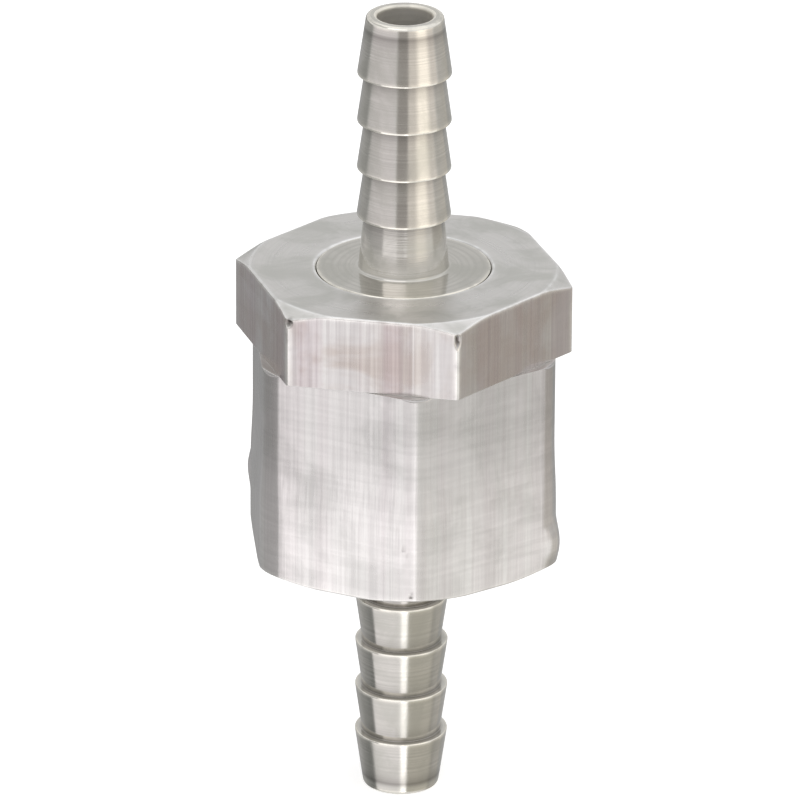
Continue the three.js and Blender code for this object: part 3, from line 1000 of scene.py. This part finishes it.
class VALVE_OT_seat(bpy.types.Operator):
    """Models the white seat ring with its conical mouth."""

    bl_idname = "valve.seat"
    bl_label = "Valve Seat"

    def execute(self, context):
        """Carries the seat's section round the axis."""
        inner, mouth = 2.4 * MM, 3.2 * MM
        corners = [
            (inner, SEAT_LOW.z, 0.08 * MM, 3, 0, 0),
            (SEAT_HIGH.x, SEAT_LOW.z, 0.1 * MM, 3, 0, 0),
            (SEAT_HIGH.x, SEAT_HIGH.z, 0.1 * MM, 3, 0, 0),
            (mouth, SEAT_HIGH.z, 0.05 * MM, 3, 0, 0),
            (inner, SEAT_HIGH.z - (mouth - inner), 0.05 * MM, 3, 0, 0),
        ]
        radius, height, _, _ = carried(corners)
        points = turned_points(radius, height, round_angles(96))
        plastic = plastic_finish(context.scene.valve_finish)
        add_piece("valve_seat", FIXED, [plastic], points)
        return {"FINISHED"}


class VALVE_OT_poppet(bpy.types.Operator):
    """Models the poppet: nose, seal groove, head, spring boss and stem."""

    bl_idname = "valve.poppet"
    bl_label = "Poppet"

    def execute(self, context):
        """Carries the poppet's profile round the axis from pole to pole."""
        low, top = POPPET_LOW.z, POPPET_HIGH.z
        tip, nose, groove, boss, stem = 1.2 * MM, 2.15 * MM, 1.83 * MM, 1.9 * MM, 1.0 * MM
        nose_edge, groove_low, head_low, head_top, boss_top = (
            low + rise * MM for rise in (0.6, 0.87, 2.03, 3.02, 3.6)
        )
        stem_break = 0.2 * MM
        corners = [
            (0, low, 0, 4, 0, 0),
            (tip, low, 0.15 * MM, 5, 0, 0.5),
            (nose, nose_edge, 0.1 * MM, 3, 0, 0.5),
            (nose, groove_low, 0.04 * MM, 2, 0, 0.5),
            (groove, groove_low, 0.04 * MM, 5, 0, 0),
            (groove, head_low, 0.04 * MM, 5, 0, 0),
            (POPPET_HIGH.x, head_low, 0.08 * MM, 4, 0, 0.6),
            (POPPET_HIGH.x, head_top, 0.12 * MM, 6, 0, 0.8),
            (boss, head_top, 0.05 * MM, 3, 0, 0),
            (boss, boss_top, 0.1 * MM, 3, 0, 0.6),
            (stem, boss_top, 0.1 * MM, 16, 0, 0),
            (stem, top - stem_break, 0.05 * MM, 2, 0, 0.5),
            (stem - stem_break, top, 0.05 * MM, 3, 0, 0.5),
            (0, top, 0, 0, 0, 0),
        ]
        radius, height, _, wear_and_highlight = carried(corners, closed=False)
        marks = {"wear_and_highlight": wear_and_highlight, "painted_shade": np.zeros(1)}
        points = turned_points(radius, height, round_angles(72))
        brass = brass_finish(context.scene.valve_finish)
        add_piece("poppet", MOVING, [brass], points, False, None, marks)
        return {"FINISHED"}


class VALVE_OT_stem_guide(bpy.types.Operator):
    """Gives the drilled stem guide and the circlip their finishes: their CAD shapes are kept."""

    bl_idname = "valve.stem_guide"
    bl_label = "Stem Guide and Circlip"

    def execute(self, context):
        """Puts the finishes in the CAD nodes' material slots."""
        settings = context.scene.valve_finish
        for node, make in (("stem_guide", brass_finish), ("guide_circlip", steel_finish)):
            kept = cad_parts[node]
            kept.data.materials.clear()
            kept.data.materials.append(make(settings))
        return {"FINISHED"}


class VALVE_OT_spring(bpy.types.Operator):
    """Models the poppet's spring: a round wire on a helix with a closed turn at each end."""

    bl_idname = "valve.spring"
    bl_label = "Spring"

    def execute(self, context):
        """Sweeps a circle along the helix (R cos a, R sin a, z(a)).

        The circle lies in the plane of the radius and of the cross of tangent and radius. z rises slowly on
        the end turns and evenly between them. The wire's ends are rounded off.
        """
        wire, turns, rows, cap_rows = 0.2 * MM, 5.5, 400, 3
        coil = SPRING_HIGH.x - wire
        low, high = SPRING_LOW.z + wire, SPRING_HIGH.z - wire
        t = np.linspace(0, turns, rows)
        dead = wire * 2.1
        open_pitch = (high - low - 2 * dead) / (turns - 2)
        rise = (np.minimum(t, 1) + np.maximum(t - turns + 1, 0)) * dead
        rise += np.clip(t - 1, 0, turns - 2) * open_pitch
        a = 2 * math.pi * t
        line = np.stack([coil * np.cos(a), coil * np.sin(a), low + rise], -1)
        tangent = np.gradient(line, axis=0)
        tangent /= np.linalg.norm(tangent, axis=1)[:, None]
        outward = np.stack([np.cos(a), np.sin(a), np.zeros_like(a)], -1)
        across = np.cross(tangent, outward)
        across /= np.linalg.norm(across, axis=1)[:, None]
        from_end = np.minimum(np.arange(rows), np.arange(rows)[::-1])
        taper = np.sqrt(1 - (1 - from_end / cap_rows).clip(0, 1) ** 2)
        s = round_angles(16)
        ring = np.cos(s)[None, :, None] * outward[:, None] + np.sin(s)[None, :, None] * across[:, None]
        points = line[:, None] + wire * taper[:, None, None] * ring
        marks = {"wear_and_highlight": np.zeros(1), "painted_shade": np.zeros(1)}
        steel = steel_finish(context.scene.valve_finish)
        spring = add_piece("poppet_spring", FIXED, [steel], points, False, None, marks)
        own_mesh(spring)
        return {"FINISHED"}


# ---------------------------------------------------------------- studio

# Soft panels round the valve: (azimuth from the camera's side, half width, elevation, half height, softness,
# brightness), all angles in degrees. Later panels cover earlier ones.
PANELS = [
    (180, 62, -22, 12, 3, (0.46, 0.46, 0.455)),
    (105, 25, -22, 12, 3, (0.62, 0.595, 0.55)),
    (46, 39, -22, 12, 3, (0.99, 0.98, 0.955)),
    (-25, 33, -22, 12, 1, (1.36, 1.335, 1.345)),
    (5, 3.5, -22, 12, 1, (1.75, 1.73, 1.74)),
    (-151, 16, -22, 12, 3, (0.45, 0.45, 0.45)),
    (-97, 39, -22, 12, 1, (0.47, 0.47, 0.465)),
    (-172, 8, -22, 12, 3, (0.34, 0.34, 0.34)),
    (-25, 33, 40, 15, 2, (1.36, 1.335, 1.345)),
    (46, 39, 40, 15, 2, (0.99, 0.98, 0.955)),
    (-97, 39, 40, 15, 2, (0.56, 0.56, 0.555)),
    (180, 50, 23, 14, 8, (0.64, 0.64, 0.635)),
    (-142, 40, -4, 7, 4, (0.25, 0.255, 0.25)),
    (-60, 38, -4, 7, 5, (0.80, 0.77, 0.785)),
    (-4, 15, -4, 7, 4, (0.38, 0.36, 0.345)),
    (48, 38, -4, 7, 4, (0.84, 0.79, 0.74)),
    (48, 15, -4, 7, 8, (1.5, 1.41, 1.28)),
    (133, 46, -4, 7, 6, (0.52, 0.51, 0.49)),
    (-118, 36, -42, 9, 4, (0.20, 0.205, 0.20)),
    (-42, 42, -42, 9, 4, (0.98, 0.96, 0.97)),
    (9, 10, -42, 9, 4, (1.85, 1.82, 1.81)),
    (60, 42, -42, 9, 4, (0.55, 0.53, 0.47)),
    (130, 36, -42, 9, 6, (0.38, 0.37, 0.34)),
]
PANEL_SIZES = ("Centre azimuth", "Half width", "Centre elevation", "Half height", "Softness")


def panel_mask():
    """One panel's mask from a direction's azimuth and elevation."""

    def fill(tree, given, result):
        side = maths(tree, "SUBTRACT", given["Azimuth"], given["Centre azimuth"])
        side = maths(tree, "WRAP", side, 180.0, -180.0)
        rise = maths(tree, "SUBTRACT", given["Elevation"], given["Centre elevation"])
        masks = []
        for offset, half in ((side, "Half width"), (rise, "Half height")):
            near = maths(tree, "SUBTRACT", given[half], maths(tree, "ABSOLUTE", offset))
            low = maths(tree, "MULTIPLY", given["Softness"], -1.0)
            masks.append(mapped(tree, near, low, given["Softness"]))
        tree.links.new(maths(tree, "MULTIPLY", *masks), result["Mask"])

    inputs = dict.fromkeys(("Azimuth", "Elevation", *PANEL_SIZES), 0.0)
    return node_group("Studio panel", inputs, ["Mask"], fill)


def studio_world(azimuth):
    """A pale studio with soft panels, painted by direction."""
    world = bpy.data.worlds.new("studio")
    world.use_nodes = True
    tree = world.node_tree
    background = tree.nodes["Background"]
    direction = add_node(tree, "ShaderNodeTexCoord").outputs["Generated"]
    facing = add_node(
        tree, "ShaderNodeVectorRotate", {"Vector": direction, "Angle": -azimuth}, rotation_type="Z_AXIS"
    ).outputs[0]
    parts = add_node(tree, "ShaderNodeSeparateXYZ", {0: facing}).outputs
    around = maths(tree, "ARCTAN2", parts[0], maths(tree, "MULTIPLY", parts[1], -1.0))
    turn = maths(tree, "DEGREES", around)
    rise = maths(tree, "DEGREES", maths(tree, "ARCSINE", parts[2]))
    low_wall, high_wall = shade((0.75,) * 3), shade((0.95,) * 3)
    walls = mixed(tree, mapped(tree, rise, -60.0, 60.0), low_wall, high_wall)
    for *sizes, tone in PANELS:
        node = add_node(tree, "ShaderNodeGroup", node_tree=panel_mask())
        tree.links.new(turn, node.inputs["Azimuth"])
        tree.links.new(rise, node.inputs["Elevation"])
        for key, value in zip(PANEL_SIZES, sizes):
            node.inputs[key].default_value = value
        walls = mixed(tree, node.outputs[0], walls, shade(tone))
    tree.links.new(walls, background.inputs["Color"])
    bpy.context.scene.world = world


def pale_floor(half, height):
    """A pale matt floor, bright enough to be the background too."""
    mesh = bpy.data.meshes.new("floor")
    corners = [(-half, -half, height), (half, -half, height), (half, half, height), (-half, half, height)]
    mesh.from_pydata(corners, [], [(0, 1, 2, 3)])
    floor = bpy.data.objects.new("floor", mesh)
    bpy.context.scene.collection.objects.link(floor)
    material = bpy.data.materials.new("pale_floor")
    material.use_nodes = True
    shader = material.node_tree.nodes["Principled BSDF"]
    shader.inputs["Base Color"].default_value = (0.9, 0.9, 0.9, 1.0)
    shader.inputs["Roughness"].default_value = 0.9
    shader.inputs["Emission Color"].default_value = (1.0, 1.0, 1.0, 1.0)
    shader.inputs["Emission Strength"].default_value = 0.42
    mesh.materials.append(material)
    floor.visible_glossy = False
    floor.visible_shadow = False


def aimed_camera(studio):
    """The camera on a sphere round its aim point, leaning by its roll."""
    a, e, roll = studio.azimuth, studio.elevation, studio.roll
    right = np.array([math.cos(a), math.sin(a), 0.0])
    back = np.array([math.sin(a) * math.cos(e), -math.cos(a) * math.cos(e), math.sin(e)])
    up = np.cross(back, right)
    aim = right * studio.aim_side + np.array([0.0, 0.0, studio.aim_height])
    data = bpy.data.cameras.new("camera")
    camera = bpy.data.objects.new("camera", data)
    bpy.context.scene.collection.objects.link(camera)
    leaning_right = right * math.cos(roll) + up * math.sin(roll)
    leaning_up = up * math.cos(roll) - right * math.sin(roll)
    turned = np.eye(4)
    turned[:3, 0], turned[:3, 1], turned[:3, 2] = leaning_right, leaning_up, back
    turned[:3, 3] = aim + back * studio.distance
    camera.matrix_world = Matrix(turned.tolist())
    data.lens = studio.lens
    data.sensor_width = 36
    data.clip_start, data.clip_end = 0.01, 20
    bpy.context.scene.camera = camera


class VALVE_OT_stage(bpy.types.Operator):
    """Sets up the floor, the soft studio light and the camera."""

    bl_idname = "valve.stage"
    bl_label = "Studio"

    def execute(self, context):
        """Makes the stage from the studio settings."""
        studio = context.scene.valve_studio
        aimed_camera(studio)
        studio_world(studio.azimuth)
        pale_floor(studio.floor_half, CAD_BOX[0][2])
        context.scene.view_settings.view_transform = "Standard"
        return {"FINISHED"}


# ---------------------------------------------------------------- panel and registration

OPERATORS = (
    VALVE_OT_stage,
    VALVE_OT_outlet_half,
    VALVE_OT_inlet_half,
    VALVE_OT_hose_barbs,
    VALVE_OT_seals,
    VALVE_OT_seat,
    VALVE_OT_poppet,
    VALVE_OT_stem_guide,
    VALVE_OT_spring,
)
SETTINGS = {
    "valve_body": ValveBodySettings,
    "valve_barb": ValveBarbSettings,
    "valve_finish": ValveFinishSettings,
    "valve_studio": ValveStudioSettings,
}


class VALVE_PT_panel(bpy.types.Panel):
    """Lists the valve's pieces in the 3D view's sidebar."""

    bl_idname = "VALVE_PT_panel"
    bl_label = "Check Valve"
    bl_space_type = "VIEW_3D"
    bl_region_type = "UI"
    bl_category = "Check Valve"

    def draw(self, context):
        """A button for each piece, then the settings."""
        for operator in OPERATORS:
            self.layout.operator(operator.bl_idname)
        for key, group in SETTINGS.items():
            box = self.layout.box()
            for name in group.__annotations__:
                box.prop(getattr(context.scene, key), name)


def register():
    """Registers the settings, operators and panel."""
    for key, group in SETTINGS.items():
        bpy.utils.register_class(group)
        setattr(bpy.types.Scene, key, bpy.props.PointerProperty(type=group))
    for operator in OPERATORS:
        bpy.utils.register_class(operator)
    bpy.utils.register_class(VALVE_PT_panel)


def unregister():
    """Takes them away again."""
    bpy.utils.unregister_class(VALVE_PT_panel)
    for operator in reversed(OPERATORS):
        bpy.utils.unregister_class(operator)
    for key, group in SETTINGS.items():
        delattr(bpy.types.Scene, key)
        bpy.utils.unregister_class(group)


def main():
    """Makes every piece and the stage."""
    register()
    for operator in OPERATORS:
        group, name = operator.bl_idname.split(".")
        getattr(getattr(bpy.ops, group), name)()


if __name__ == "__main__":
    main()
